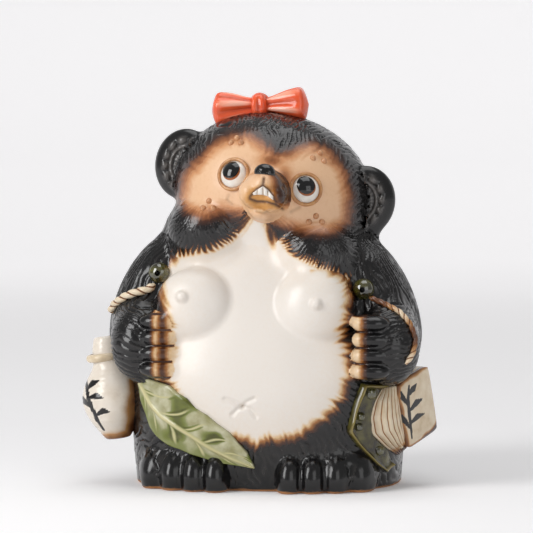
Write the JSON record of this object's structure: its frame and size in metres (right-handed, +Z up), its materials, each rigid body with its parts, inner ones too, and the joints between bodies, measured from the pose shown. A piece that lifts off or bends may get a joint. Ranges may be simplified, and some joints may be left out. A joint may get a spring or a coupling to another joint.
{
  "type": "tanuki statue",
  "caption": "Seated female tanuki figure in glazed stoneware with a bow, bare belly, leaf, flask and account book, standing on a flat foot as an ornament.",
  "frame": {"origin": "on the ground under the middle of the foot slab, on the seam between the front and back halves", "axes": "+Z up, the figure faces -Y, and its own right hand with the flask is on the -X side"},
  "size_m": [0.2233, 0.1702, 0.2457],
  "materials": {
    "white_glaze": "gloss white glaze with a warm cream edge",
    "iron_glaze": "satin black iron glaze over combed fur grooves",
    "face_glaze": "gloss tan glaze airbrushed from peach to brown and black",
    "red_glaze": "gloss orange-red glaze",
    "leaf_glaze": "gloss green glaze pooling in the veins",
    "cream_glaze": "gloss cream glaze",
    "olive_glaze": "gloss olive to amber glaze",
    "stoneware": "bare fired tan stoneware"
  },
  "bodies": {
    "root": {"body_front": "white_glaze", "right_eyeball": "white_glaze", "left_eyeball": "white_glaze", "upper_teeth": "white_glaze", "flask": "white_glaze", "body_back": "iron_glaze", "head_back": "iron_glaze", "right_ear": "iron_glaze", "left_ear": "iron_glaze", "right_cheek_tuft": "iron_glaze", "left_cheek_tuft": "iron_glaze", "right_arm": "iron_glaze", "left_arm": "iron_glaze", "right_foot": "iron_glaze", "left_foot": "iron_glaze", "tail": "iron_glaze", "nose": "iron_glaze", "right_pupil": "iron_glaze", "left_pupil": "iron_glaze", "face_shell": "face_glaze", "muzzle": "face_glaze", "lower_jaw": "face_glaze", "right_eye_rim": "face_glaze", "left_eye_rim": "face_glaze", "brow_beads": "face_glaze", "cheek_beads": "face_glaze", "bow_knot": "red_glaze", "bow_right_loop": "red_glaze", "bow_left_loop": "red_glaze", "leaf": "leaf_glaze", "flask_collar": "cream_glaze", "right_cord": "cream_glaze", "left_cord": "cream_glaze", "ledger_pages": "cream_glaze", "ledger_cover": "cream_glaze", "right_toggle": "olive_glaze", "left_toggle": "olive_glaze", "pouch": "olive_glaze", "pouch_studs": "olive_glaze", "base_slab": "stoneware"}
  },
  "joints": []
}
